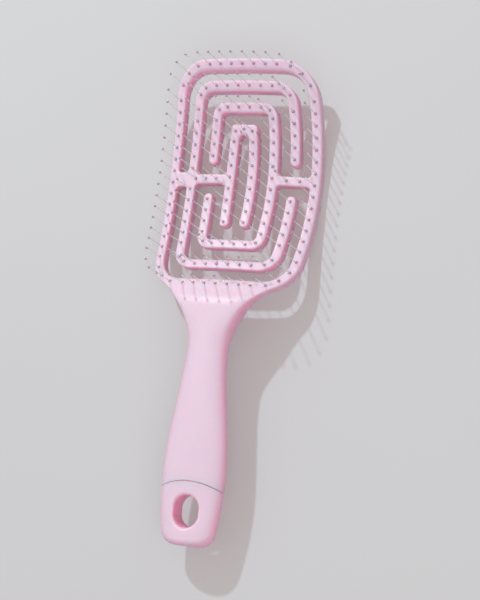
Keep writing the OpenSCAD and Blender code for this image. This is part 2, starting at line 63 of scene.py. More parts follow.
# The sizes of the pins, slimmer than the solids', and of their strips
PIN_PITCH = 5.85
PIN_L = 16.6
PIN_R = 0.4
PIN_TAPER = 0.7
BALL_R = 0.65
# The hole mouth is a flat dark ring of painted shade around each pin's root
HOLE_MOUTH_R = 0.8
MOUTH_LIFT = 0.04
SKIN_T = 1.5
STRIP_W = 2.2
STRIP_T = 1.2

# The handle's sizes, finer at neck and seam than the solids'. _V is a place, down from the face's low point
TAIL_L = 177.0
NECK_HALF_W = 10.0
NECK_V = 85.5
NECK_T = 13.8
SLOPE_L = 3.6
CREST_R = 12.0
ROOT_LAP = 0.45
THICKEN_L = 6.0
HANDLE_LAP = 0.8
ROOT_BOXINESS = 7.0
GRIP_BOXINESS = 2.1
OVAL_LEAD = 4.0
GRIP_HALF_W = 15.7
GRIP_V = 145.0
GRIP_ARC_R = 1040.0
RISE_POWER = 0.9
CAP_L = 29.4
SEAM_R = 36.0
SEAM_GAP = 0.1
END_HALF_W = 12.4
END_T = 13.8
END_CORNER_R = 6.0
END_EDGE_R = 2.8
HOLE_UP = 16.0
HOLE_W = 12.4
HOLE_L = 15.2

# Roundings of the moulded edges
FACE_EDGE_R = 1.15
BACK_EDGE_R = 0.8
PARTING_EDGE_R = 0.3
SEAM_EDGE_R = 0.2
HOLE_EDGE_R = 1.7

# The rails from the outside in, and the signs of the head's sides and ends
RIM, RING, INNER, HAIRPIN = 0, 1, 2, 3
LEFT, RIGHT = -1, 1
BOTTOM, TOP = -1, 1
RING_STEP = (HEAD_HALF_W - HAIRPIN_HALF_W) / HAIRPIN


# Places on the head, measured in the plan view from the face's lowest point
def plan(s):
    return HEAD_ARC_R * sin(s / HEAD_ARC_R)


def dome(x):
    return DOME_R - np.sqrt(DOME_R ** 2 - np.square(x))


HEAD_TOP_Y = plan(HEAD_TOP_S) + RAIL_W / 2
HEAD_BOTTOM_V = plan(HEAD_BOTTOM_S) + RAIL_W / 2
DATUM_Y = (TAIL_L - HEAD_TOP_Y) / 2
AXIS_Z = HEAD_ARC_R + float(dome(HEAD_HALF_W + RAIL_W / 2)) + RAIL_DEPTH
BAR_Y = plan(BAR_S)
SIDE_C = HEAD_HALF_W - SIDE_R


def face_z(x, y):
    return AXIS_Z - np.sqrt((HEAD_ARC_R + dome(x)) ** 2 - np.square(y))


def face_normal(x, y, step=0.05):
    slope_x = float(face_z(x + step, y) - face_z(x - step, y)) / (2 * step)
    slope_y = float(face_z(x, y + step) - face_z(x, y - step)) / (2 * step)
    return Vector((-slope_x, -slope_y, 1)).normalized()


def side_x(i, y):
    return SIDE_C + sqrt((SIDE_R - i * RING_STEP) ** 2 - y * y)


def end_y(i, end):
    if end == TOP:
        return plan(HEAD_TOP_S - i * TOP_STEP)
    return -plan(HEAD_BOTTOM_S - min(i, INNER) * BOTTOM_STEP)


def corner(i, end):
    """Centre of a rail's right-hand corner."""
    y = end_y(i, end) - end * CORNER_R[i]
    return SIDE_C + sqrt((SIDE_R - i * RING_STEP - CORNER_R[i]) ** 2 - y * y), y


# Distance fields: below zero inside the plastic
def round_cut(a, b, r):
    """What lies inside both, with a rounded edge."""
    inner = np.minimum(-r, np.maximum(a, b))
    return inner + np.hypot(np.maximum(r + a, 0), np.maximum(r + b, 0))


def round_join(a, b, r):
    """What lies inside either, with a filled corner."""
    outer = np.maximum(r, np.minimum(a, b))
    return outer - np.hypot(np.maximum(r - a, 0), np.maximum(r - b, 0))


def ring_line(i, x, y):
    """Distance from a rail's middle line, below zero inside the ring."""
    ax = np.abs(x)
    beside = np.hypot(ax - SIDE_C, y) - (SIDE_R - i * RING_STEP)
    line = np.maximum(beside, np.maximum(y - end_y(i, TOP), end_y(i, BOTTOM) - y))
    for end in (TOP, BOTTOM):
        cx, cy = corner(i, end)
        past_side = end * (y * (cx - SIDE_C) - cy * (ax - SIDE_C)) > 0
        in_corner = (ax > cx) & past_side & (end * y > 0)
        line = np.where(in_corner, np.hypot(ax - cx, y - cy) - CORNER_R[i], line)
    return line


def free_ends(i, ends, x, y):
    """Distance from a rail's round free ends, given as (side, place along the head)."""
    return np.minimum.reduce([
        np.hypot(x - side * side_x(i, at), y - at) - RAIL_W / 2 for side, at in ends
    ])


def rail_plan(x, y):
    """Distance from the rails' outline in the plan view."""
    rails = [np.abs(ring_line(i, x, y)) - RAIL_W / 2 for i in (RIM, RING, INNER, HAIRPIN)]
    below = BAR_Y - FREE_END_GAP - RAIL_W / 2
    above = BAR_Y + FREE_END_GAP + RAIL_W / 2
    for i, side in ((RING, RIGHT), (INNER, LEFT)):
        in_gap = (x * side > 0) & (y > below) & (y < above)
        rails[i] = np.where(in_gap, free_ends(i, ((side, below), (side, above)), x, y), rails[i])
    foot = -plan(HAIRPIN_LEG_S)
    feet = free_ends(HAIRPIN, ((LEFT, foot), (RIGHT, foot)), x, y)
    rails[HAIRPIN] = np.where(y < foot, feet, rails[HAIRPIN])
    top = end_y(HAIRPIN, TOP)
    past_top = np.maximum(np.abs(x) - side_x(HAIRPIN, top), 0)
    rails[HAIRPIN] = np.minimum(rails[HAIRPIN], np.hypot(past_top, y - top) - RAIL_W / 2)
    outline = np.minimum.reduce(rails)
    bars = (
        (-side_x(RIM, BAR_Y), -side_x(RING, BAR_Y), WEB_W),
        (-side_x(RING, BAR_Y), -side_x(HAIRPIN, BAR_Y), RAIL_W),
        (side_x(INNER, BAR_Y), side_x(RIM, BAR_Y), RAIL_W),
    )
    for x0, x1, w in bars:
        bar = np.maximum(np.abs(y - BAR_Y) - w / 2, np.maximum(x0 - x, x - x1))
        outline = round_join(outline, bar, JOINT_R)
    return outline


# The neck's sides run smoothly out of the rim's corners
NECK_CORNER_X, NECK_CORNER_V = corner(RIM, BOTTOM)[0], -corner(RIM, BOTTOM)[1]
RIM_OUT_R = CORNER_R[RIM] + RAIL_W / 2
NECK_DROP = NECK_V - NECK_CORNER_V
NECK_SHIFT = NECK_CORNER_X - NECK_HALF_W
NECK_SIDE_R = (NECK_SHIFT ** 2 + NECK_DROP ** 2 - RIM_OUT_R ** 2) / (2 * (RIM_OUT_R + NECK_SHIFT))
JOIN_V = NECK_CORNER_V + RIM_OUT_R / (RIM_OUT_R + NECK_SIDE_R) * NECK_DROP

# The front climbs from the face in a slope, a crest and the grip's long arc
SLOPE_A = asin(HEAD_BOTTOM_V / HEAD_ARC_R)
CREST_V = HEAD_BOTTOM_V + SLOPE_L + CREST_R * sin(SLOPE_A)
SLOPE_Z = float(face_z(0, HEAD_BOTTOM_V)) + SLOPE_L * tan(SLOPE_A)
CREST_Z = SLOPE_Z + CREST_R * (1 - cos(SLOPE_A))
ROOT_V = HEAD_BOTTOM_V - ROOT_LAP
ROOT_T = RAIL_DEPTH / cos(SLOPE_A)
FULL_V = CREST_V + THICKEN_L
OVAL_V = NECK_V - OVAL_LEAD


def shoulder_plan(x, v):
    side = NECK_SIDE_R - np.hypot(np.abs(x) - NECK_HALF_W - NECK_SIDE_R, v - NECK_V)
    return np.maximum(side, np.maximum(JOIN_V - v, v - HEAD_BOTTOM_V - SLOPE_L / 2))


def smooth(t):
    u = np.clip(t, 0, 1)
    return u * u * (3 - 2 * u)


def eased(value, start, end):
    """0 up to the start, 1 from the end on."""
    return smooth((value - start) / (end - start))


def rise(v):
    return smooth((np.maximum(0, v - NECK_V) / (GRIP_V - NECK_V)) ** RISE_POWER)


def half_w(v):
    neck = NECK_HALF_W + NECK_SIDE_R - np.sqrt(np.maximum(0, NECK_SIDE_R ** 2 - (NECK_V - v) ** 2))
    grip = NECK_HALF_W + (GRIP_HALF_W - NECK_HALF_W) * rise(v)
    tail = GRIP_HALF_W - (GRIP_HALF_W - END_HALF_W) * ((v - GRIP_V) / (TAIL_L - GRIP_V)) ** 2
    return np.where(v < NECK_V, neck, np.where(v < GRIP_V, grip, tail))


def front_z(v):
    head = face_z(0, np.minimum(v, HEAD_BOTTOM_V))
    slope = face_z(0, HEAD_BOTTOM_V) + (v - HEAD_BOTTOM_V) * tan(SLOPE_A)
    crest_arc = np.sqrt(np.maximum(0, CREST_R ** 2 - (CREST_V - v) ** 2))
    crest = SLOPE_Z - CREST_R * cos(SLOPE_A) + crest_arc
    grip = CREST_Z - GRIP_ARC_R + np.sqrt(GRIP_ARC_R ** 2 - (v - CREST_V) ** 2)
    z = np.where(v < HEAD_BOTTOM_V + SLOPE_L, slope, np.where(v < CREST_V, crest, grip))
    return np.where(v < HEAD_BOTTOM_V, head, z)


def thick(v):
    root = ROOT_T + (NECK_T - ROOT_T) * eased(v, ROOT_V, FULL_V)
    grip = NECK_T + (END_T - NECK_T) * eased(v, FULL_V, TAIL_L)
    return np.where(v < FULL_V, root, grip)


def boxiness(v):
    """Power of the handle's section, from a rounded box at the root to an oval at the grip."""
    return ROOT_BOXINESS + (GRIP_BOXINESS - ROOT_BOXINESS) * eased(v, ROOT_V, OVAL_V)


def end_round(v, r):
    return r - np.sqrt(np.maximum(0, r * r - np.maximum(0, v - TAIL_L + r) ** 2))


def handle_field(x, v, z, least=1e-4):
    """Distance from the handle with its cap, whose sections are rounded ovals."""
    v = np.minimum(v, TAIL_L)
    p = boxiness(v)
    hx = half_w(v) - end_round(v, END_CORNER_R)
    hz = thick(v) / 2 - end_round(v, END_EDGE_R)
    across = np.maximum(np.abs(x) / hx, least)
    up = np.maximum(np.abs(z + dome(x) - front_z(v) + thick(v) / 2) / hz, least)
    size = (across ** p + up ** p) ** (1 / p)
    slope = size ** (1 - p) * np.hypot(across ** (p - 1) / hx, up ** (p - 1) / hz)
    return (size - 1) / slope


def seam_line(x, v):
    """Distance from the arched seam, below zero on the cap's side."""
    return np.hypot(x, v - TAIL_L + CAP_L - SEAM_R) - SEAM_R


def shell_depth(x, y, z):
    """Depth below the head's face."""
    return np.hypot(y, AXIS_Z - z) - HEAD_ARC_R - dome(x)


# Value of an empty field, and how far past the head's bottom the rails are worked out
FAR = 99.0
HEAD_REACH = 4.0


def frame_field(x, y, z):
    v = DATUM_Y - y
    field = np.full(np.broadcast(x, y, z).shape, FAR)
    if v.min() < HEAD_BOTTOM_V + HEAD_REACH:
        outline = np.minimum(rail_plan(x, -v), shoulder_plan(x, v))
        depth = shell_depth(x, -v, z)
        head = round_cut(outline, -depth, FACE_EDGE_R)
        field = round_cut(head, depth - (RAIL_DEPTH - COVER_T), PARTING_EDGE_R)
    if v.max() > JOIN_V:
        handle = np.maximum(handle_field(x, v, z), JOIN_V + HANDLE_LAP - v)
        handle = round_cut(handle, SEAM_GAP - seam_line(x, v), SEAM_EDGE_R)
        field = np.minimum(field, handle)
    return field


def cover_field(x, y, z):
    v = DATUM_Y - y
    outline = np.maximum(rail_plan(x, -v), v - ROOT_V + COVER_GAP)
    depth = shell_depth(x, -v, z)
    back = round_cut(outline, depth - RAIL_DEPTH, BACK_EDGE_R)
    return round_cut(back, RAIL_DEPTH - COVER_T + COVER_GAP - depth, PARTING_EDGE_R)


def hole_line(x, along):
    """Distance from the hanging hole's outline, below zero in the hole."""
    return np.hypot(x, np.maximum(np.abs(along) - (HOLE_L - HOLE_W) / 2, 0)) - HOLE_W / 2


HOLE_V = TAIL_L - HOLE_UP
HOLE_SLOPE = asin((HOLE_V - CREST_V) / GRIP_ARC_R)


def cap_field(x, y, z):
    v = DATUM_Y - y
    handle = np.maximum(handle_field(x, v, z), v - TAIL_L)
    cap = round_cut(handle, seam_line(x, v), SEAM_EDGE_R)
    mid_z = float(front_z(HOLE_V) - thick(HOLE_V) / 2)
    along = (v - HOLE_V) * cos(HOLE_SLOPE) - (z - mid_z) * sin(HOLE_SLOPE)
    return round_cut(cap, -hole_line(x, along), HOLE_EDGE_R)


def gradient(field, p, step=0.04):
    g = np.empty_like(p)
    for axis in range(3):
        d = np.zeros(3)
        d[axis] = step
        g[:, axis] = field(*(p + d).T) - field(*(p - d).T)
    return g / (2 * step)


# Painted shade: the pink deepens below the face and on upright walls and sides, standing in for their shade
# and pink bounce light, from the first number of a pair to the second
PAINTED_SHADE_MARK = "wall"
PAINTED_SHADE_DEPTH = (0.1, 1.0)
RAIL_TURN = (0.3, 0.9)
HANDLE_TURN = (0.25, 0.95)
BACK_SHADE_SHARE = 0.75
NECK_FADE = (-2.0, 1.0)


def shade_by_facing(facing, upright, flat):
    """Share of painted shade: 1 where a surface stands upright, 0 where it faces the front, and less than 1
    at the back.
    """
    return 1 - eased(np.abs(facing), upright, flat) * np.where(facing > 0, 1, 1 - BACK_SHADE_SHARE)


def wall_share(p, normals):
    """How deep the painted shade's pink is at each point of a skin."""
    x, y, z = p.T
    depth = shell_depth(x, y - DATUM_Y, z)
    inward = gradient(lambda x, y, z: shell_depth(x, y - DATUM_Y, z), p)
    on_head = eased(y - DATUM_Y + HEAD_BOTTOM_V, *NECK_FADE)
    # Painted shade on the rails' walls below the face, and on the handle's sides
    rail_wall = eased(depth, *PAINTED_SHADE_DEPTH) * shade_by_facing(-(inward * normals).sum(1), *RAIL_TURN)
    handle_side_shade = shade_by_facing(normals[:, 2], *HANDLE_TURN)
    return np.maximum(on_head * rail_wall, (1 - on_head) * handle_side_shade)


def crossed_cells(values, inside, lines):
    """Grid cells that the surface passes, and the mean of its crossings with each cell's edges."""
    corners = [(a, b, c) for a in (0, 1) for b in (0, 1) for c in (0, 1)]
    nx, ny, nz = inside.shape
    count = np.zeros((nx - 1, ny - 1, nz - 1), np.int8)
    for a, b, c in corners:
        count += inside[a:nx - 1 + a, b:ny - 1 + b, c:nz - 1 + c]
    cells = np.argwhere((count > 0) & (count < len(corners)))
    total = np.zeros((len(cells), 3))
    hits = np.zeros(len(cells))
    for a in corners:
        for axis in range(3):
            if a[axis]:
                continue
            b = tuple(a[k] + (1 if k == axis else 0) for k in range(3))
            ia, ib = cells + a, cells + b
            fa, fb = values[tuple(ia.T)], values[tuple(ib.T)]
            crossed = (fa < 0) != (fb < 0)
            t = np.where(crossed, fa / np.where(crossed, fa - fb, 1), 0)
            for k in range(3):
                pa, pb = lines[k][ia[:, k]], lines[k][ib[:, k]]
                total[:, k] += np.where(crossed, pa + (pb - pa) * t, 0)
            hits += crossed
    return cells, total / hits[:, None]


def settled(field, points, passes=3, least_slope=0.2, longest_step=0.4):
    """The points, moved onto the surface in a few short steps along the field's slope."""
    for _ in range(passes):
        g = gradient(field, points)
        step = field(*points.T) / np.maximum((g ** 2).sum(1), least_slope)
        points -= g * np.clip(step, -longest_step, longest_step)[:, None]
    return points


def outward_quads(inside, index):
    """A face for each grid edge that the surface crosses, between the points of its four cells."""
    quads = []
    for axis in range(3):
        u, w = (axis + 1) % 3, (axis + 2) % 3
        low = [slice(1, -1)] * 3
        high = [slice(1, -1)] * 3
        low[axis], high[axis] = slice(0, -1), slice(1, None)
        a, b = inside[tuple(low)], inside[tuple(high)]
        at = np.argwhere(a != b)
        outward = a[tuple(at.T)]
        at[:, u] += 1
        at[:, w] += 1
        ring = []
        for du, dw in ((1, 1), (0, 1), (0, 0), (1, 0)):
            c = at.copy()
            c[:, u] -= du
            c[:, w] -= dw
            ring.append(index[tuple(c.T)])
        quad = np.stack(ring, 1)
        quad[~outward] = quad[~outward][:, ::-1]
        quads.append(quad)
    return np.concatenate(quads)


def skin(name, field, xs, ys, zs, rows=24):
    """Closed mesh on the zero of a distance field, one point in each grid cell that it crosses."""
    values = np.concatenate([
        field(xs[:, None, None], ys[None, i:i + rows, None], zs[None, None, :])
        for i in range(0, len(ys), rows)
    ], axis=1)
    inside = values < 0
    cells, points = crossed_cells(values, inside, (xs, ys, zs))
    points = settled(field, points)
    index = np.full(np.subtract(inside.shape, 1), -1, np.int64)
    index[tuple(cells.T)] = np.arange(len(cells))
    quads = outward_quads(inside, index)
    normals = gradient(field, points)
    normals /= np.linalg.norm(normals, axis=1)[:, None]
    mesh = bpy.data.meshes.new(name)
    mesh.from_pydata((points * MM).tolist(), [], quads.tolist())
    mesh.polygons.foreach_set("use_smooth", [True] * len(mesh.polygons))
    mesh.update()
    mesh.normals_split_custom_set_from_vertices(normals.tolist())
    # Share of painted shade at each point, read by the plastic for its deeper pink
    mark = mesh.attributes.new(PAINTED_SHADE_MARK, "FLOAT", "POINT")
    mark.data.foreach_set("value", wall_share(points, normals))
    obj = bpy.data.objects.new(name, mesh)
    bpy.context.scene.collection.objects.link(obj)
    return obj


def spaced(*stops):
    """Grid lines through stops given as (place, spacing up to the next)."""
    lines = []
    for (a, step), (b, _) in zip(stops, stops[1:]):
        n = max(1, round((b - a) / step))
        lines += [a + (b - a) * k / n for k in range(n)]
    return np.array(lines + [stops[-1][0]])


def even(low, high, step):
    return spaced((low, step), (high, 0))


# Materials. A Mix node's colour sockets share their names with those for numbers, so they go by place
MIX_FACTOR, MIX_A, MIX_B, MIX_COLOUR = 0, 6, 7, 2


def colour(r, g, b):
    """Colour for a shader from its red, green and blue of 0 to 255."""
    def linear(c):
        c /= 255
        return c / 12.92 if c <= 0.04045 else ((c + 0.055) / 1.055) ** 2.4
    return (linear(r), linear(g), linear(b), 1.0)


# Pink of the painted shade on walls, sides and the back
PAINTED_SHADE_PINK = colour(255, 187, 212)
BODY_DEEP, BODY_PALE = colour(233, 212, 229), colour(237, 218, 234)
ROUGHNESS_SPREAD = 0.05
NYLON_LIFT = 8
FLOOR_DEEP, FLOOR_PALE = colour(170, 184, 187), colour(174, 188, 191)
FLOOR_GLOW = colour(255, 214, 210)


def new_material(name):
    mat = bpy.data.materials.new(name)
    mat.use_nodes = True
    nodes = mat.node_tree.nodes
    return mat, nodes, mat.node_tree.links, nodes["Principled BSDF"]


def noise(nodes, links, scale, detail=2):
    """Noise on the piece's own coordinates."""
    place = nodes.new("ShaderNodeTexCoord")
    clouds = nodes.new("ShaderNodeTexNoise")
    clouds.inputs["Scale"].default_value = scale
    clouds.inputs["Detail"].default_value = detail
    links.new(place.outputs["Object"], clouds.inputs["Vector"])
    return clouds.outputs["Fac"]


def tinted(nodes, links, factor, a, b):
    """Colour between two, each a colour or another node's output."""
    tint = nodes.new("ShaderNodeMix")
    tint.data_type = "RGBA"
    links.new(factor, tint.inputs[MIX_FACTOR])
    for socket, shade in ((MIX_A, a), (MIX_B, b)):
        if isinstance(shade, tuple):
            tint.inputs[socket].default_value = shade
        else:
            links.new(shade, tint.inputs[socket])
    return tint.outputs[MIX_COLOUR]


def scattering(shader, weight, radius, scale):
    shader.inputs["Subsurface Weight"].default_value = weight
    shader.inputs["Subsurface Radius"].default_value = radius
    shader.inputs["Subsurface Scale"].default_value = scale


def plastic(name, deep, pale, roughness, bump):
    """Satin plastic, faintly clouded and grained, with painted shade: a deeper pink on its walls and sides.
    """
    mat, nodes, links, shader = new_material(name)
    clouds = noise(nodes, links, scale=55, detail=3)
    wall = nodes.new("ShaderNodeAttribute")
    wall.attribute_name = PAINTED_SHADE_MARK
    tint = tinted(nodes, links, clouds, deep, pale)
    # Painted shade: the deeper pink where the mark is set
    with_shade = tinted(nodes, links, wall.outputs["Fac"], tint, PAINTED_SHADE_PINK)
    links.new(with_shade, shader.inputs["Base Color"])
    gloss = nodes.new("ShaderNodeMapRange")
    gloss.inputs["To Min"].default_value = roughness - ROUGHNESS_SPREAD
    gloss.inputs["To Max"].default_value = roughness + ROUGHNESS_SPREAD
    links.new(clouds, gloss.inputs["Value"])
    links.new(gloss.outputs["Result"], shader.inputs["Roughness"])
    relief = nodes.new("ShaderNodeBump")
    relief.inputs["Strength"].default_value = bump
    relief.inputs["Distance"].default_value = 0.04 * MM
    links.new(noise(nodes, links, scale=2600), relief.inputs["Height"])
    links.new(relief.outputs["Normal"], shader.inputs["Normal"])
    scattering(shader, weight=0.8, radius=(1.0, 0.38, 0.52), scale=4.5 * MM)
    return mat


def nylon(name, shade, cover, milkiness, roughness):
    """Pin material, clouded a little along the pins."""
    mat, nodes, links, shader = new_material(name)
    paler = [min(255, c + NYLON_LIFT) for c in shade]
    tint = tinted(nodes, links, noise(nodes, links, scale=120), colour(*shade), colour(*paler))
    links.new(tint, shader.inputs["Base Color"])
    shader.inputs["Roughness"].default_value = roughness
    shader.inputs["Alpha"].default_value = cover
    scattering(shader, weight=milkiness, radius=(0.9, 0.9, 0.9), scale=3 * MM)
    return mat


def floor_paint(name, lift):
    """Floor paint that looks a little brighter to the camera than it lights the brush."""
    mat, nodes, links, shader = new_material(name)
    tint = tinted(nodes, links, noise(nodes, links, scale=6), FLOOR_DEEP, FLOOR_PALE)
    links.new(tint, shader.inputs["Base Color"])
    shader.inputs["Roughness"].default_value = 0.8
    seen = nodes.new("ShaderNodeLightPath")
    glow = nodes.new("ShaderNodeMath")
    glow.operation = "MULTIPLY"
    glow.inputs[1].default_value = lift
    links.new(seen.outputs["Is Camera Ray"], glow.inputs[0])
    links.new(glow.outputs[0], shader.inputs["Emission Strength"])
    shader.inputs["Emission Color"].default_value = FLOOR_GLOW
    return mat


rail_plastic = plastic("satin pink plastic", BODY_DEEP, BODY_PALE, roughness=0.42, bump=0.25)
cap_plastic = plastic("satin pink cap plastic", BODY_DEEP, BODY_PALE, roughness=0.42, bump=0.25)
shaft_nylon = nylon("clear nylon", (255, 250, 253), cover=0.4, milkiness=1.0, roughness=0.35)
# The tips' darker mauve is painted shade: it stands in for the dark look of clear balls against a bright
# ground
shaded_tip_nylon = nylon("milky nylon tip with painted shade", (178, 156, 167), cover=0.94, milkiness=0.5, roughness=0.15)
hole_shade = nylon("shaded pin hole", (174, 128, 156), cover=1.0, milkiness=0.0, roughness=0.6)


def declared(obj, node):
    """Hides the solid that a piece stands for, and fixes the piece to the root."""
    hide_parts(node)
    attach(obj, "root")


# Grid lines of the skins, closer at the head and the seam, and started where no two sheets share a cell
HEAD_STEP, ROOT_STEP, GRIP_STEP, SEAM_STEP, CAP_STEP = 0.56, 0.7, 1.1, 0.4, 0.45
HEAD_ROOM, ROOT_ROOM, CAP_ROOM = 1.2, 2.0, 1.0
ROOT_L = 6.0
SEAM_BELOW, SEAM_ABOVE, SEAM_ROOM = 6.0, 1.5, 0.5
FACE_LOW_Z = AXIS_Z - HEAD_ARC_R
FRAME_Z = (0.3, FACE_LOW_Z + 22)
COVER_Z = (-0.6, FACE_LOW_Z + 16)
CAP_Z = (7.1, 29)

head_side = HEAD_HALF_W + RAIL_W / 2 + HEAD_ROOM
head_low = DATUM_Y - HEAD_BOTTOM_V - ROOT_ROOM
head_high = DATUM_Y + HEAD_TOP_Y + HEAD_ROOM
seam_low = DATUM_Y - TAIL_L + CAP_L - SEAM_BELOW
seam_high = DATUM_Y - TAIL_L + CAP_L + SEAM_ABOVE
handle_low = DATUM_Y - TAIL_L

head_x = even(-head_side, head_side, HEAD_STEP)
head_y = even(head_low, head_high, HEAD_STEP)
frame_y = spaced(
    (seam_low, SEAM_STEP),
    (seam_high, GRIP_STEP),
    (head_low - ROOT_L, ROOT_STEP),
    (head_low, HEAD_STEP),
    (head_high, 0),
)
cap_x = even(-GRIP_HALF_W - CAP_ROOM, GRIP_HALF_W + CAP_ROOM, CAP_STEP)
cap_y = even(handle_low - CAP_ROOM, seam_high + SEAM_ROOM, CAP_STEP)

frame_skin = skin("frame_shell", frame_field, head_x, frame_y, even(*FRAME_Z, HEAD_STEP))
frame_skin.data.materials.append(rail_plastic)
declared(frame_skin, "frame")

cover_skin = skin("back_cover_shell", cover_field, head_x, head_y, even(*COVER_Z, HEAD_STEP))
cover_skin.data.materials.append(rail_plastic)
declared(cover_skin, "back_cover")

cap_skin = skin("end_cap_shell", cap_field, cap_x, cap_y, even(*CAP_Z, CAP_STEP))
cap_skin.data.materials.append(cap_plastic)
declared(cap_skin, "end_cap")


# Rows of pins, in the plan view. An end's pitch is a share of the width between its corners
END_PITCH_SHARES = {TOP: (0.146, 0.175, 0.286, 0), BOTTOM: (0.142, 0.169, 0.27, 0)}
RIM_SIDE_START, RIM_SIDE_PINS = -39, 15
RIM_CORNER_ANGLE, RING_CORNER_ANGLE = 26, 32
HAIRPIN_CORNER_X, HAIRPIN_CORNER_DROP = 4.4, 1.0


def side_row(i, side, start, count):
    ys = [plan(start + k * PIN_PITCH) for k in range(count)]
    return [(side * side_x(i, y), y) for y in ys]


def end_row(i, end, count):
    pitch = 2 * corner(i, end)[0] * END_PITCH_SHARES[end][i]
    return [((k - (count - 1) / 2) * pitch, end_y(i, end)) for k in range(count)]


def bar_row(x0, x1, shares):
    return [(x0 + share * (x1 - x0), BAR_Y) for share in shares]


def corner_row(i, side, end, angles):
    cx, cy = corner(i, end)
    r = CORNER_R[i]
    turns = [(cos(radians(a)), sin(radians(a))) for a in angles]
    return [(side * (cx + r * across), cy + end * r * along) for across, along in turns]


def by_x(points):
    return sorted(points)


def by_y(points):
    return sorted(points, key=lambda p: p[1])


def end_line(i, end, count, angles):
    corners = corner_row(i, LEFT, end, angles) + corner_row(i, RIGHT, end, angles)
    return by_x(end_row(i, end, count) + corners)


def rim_side(side):
    corners = [corner_row(RIM, side, end, [RIM_CORNER_ANGLE]) for end in (TOP, BOTTOM)]
    return by_y(side_row(RIM, side, RIM_SIDE_START, RIM_SIDE_PINS) + sum(corners, []))


def arm_side(side, end, start, count):
    corner_pin = corner_row(RING, side, end, [RING_CORNER_ANGLE])
    return by_y(side_row(RING, side, start, count) + corner_pin)


def hairpin_top():
    y = end_y(HAIRPIN, TOP) - HAIRPIN_CORNER_DROP
    corners = [(side * HAIRPIN_CORNER_X, y) for side in (LEFT, RIGHT)]
    return by_x(end_row(HAIRPIN, TOP, 1) + corners)


PIN_ROWS = {
    "rim_left": rim_side(LEFT),
    "rim_top": end_line(RIM, TOP, count=7, angles=[50, 74]),
    "rim_right": rim_side(RIGHT),
    "rim_bottom": end_line(RIM, BOTTOM, count=7, angles=[50, 74]),
    "upper_arm_left": arm_side(LEFT, TOP, start=8.8, count=6),
    "upper_arm_top": end_line(RING, TOP, count=6, angles=[62]),
    "upper_arm_right": arm_side(RIGHT, TOP, start=14, count=5),
    "lower_arm_left": arm_side(LEFT, BOTTOM, start=-31, count=6),
    "lower_arm_bottom": end_line(RING, BOTTOM, count=6, angles=[62]),
    "lower_arm_right": arm_side(RIGHT, BOTTOM, start=-30.4, count=5),
    "ring_upper_left": side_row(INNER, LEFT, start=14.8, count=4),
    "ring_top": end_line(INNER, TOP, count=4, angles=[48]),
    "ring_right": side_row(INNER, RIGHT, start=-25, count=11),
    "ring_bottom": end_line(INNER, BOTTOM, count=4, angles=[48]),
    "ring_lower_left": side_row(INNER, LEFT, start=-24.6, count=4),
    "hairpin_left": side_row(HAIRPIN, LEFT, start=-HAIRPIN_LEG_S, count=8),
    "hairpin_top": hairpin_top(),
    "hairpin_right": side_row(HAIRPIN, RIGHT, start=-HAIRPIN_LEG_S, count=8),
    "left_bar": bar_row(-side_x(RING, BAR_Y), -side_x(HAIRPIN, BAR_Y), shares=(0.122, 0.391, 0.66)),
    "right_bar": bar_row(side_x(INNER, BAR_Y), side_x(RIM, BAR_Y), shares=(0.345, 0.656)),
}


FACE_NORMAL = "face_normal"
PART_MARK = "part"
SHAFT, TIP, MOUTH = 0, 1, 2
SHAFT_SIDES, BALL_SEGMENTS, BALL_RINGS, MOUTH_SIDES = 8, 8, 6, 12
PIN_SIZES = {
    "Pin length": PIN_L * MM,
    "Root radius": PIN_R * MM,
    "Neck radius": PIN_R * PIN_TAPER * MM,
    "Ball radius": BALL_R * MM,
    "Hole radius": HOLE_MOUTH_R * MM,
    "Mouth height": MOUTH_LIFT * MM,
    "Sunk length": (SKIN_T + STRIP_T) * MM,
    "Strip width": STRIP_W * MM,
    "Strip thickness": STRIP_T * MM,
}
PIN_MATERIALS = {
    "Shaft material": (SHAFT, shaft_nylon),
    "Tip material": (TIP, shaded_tip_nylon),
    "Hole shade material": (MOUTH, hole_shade),
}
PIN_INPUTS = {**PIN_SIZES, **{name: material for name, (_, material) in PIN_MATERIALS.items()}}


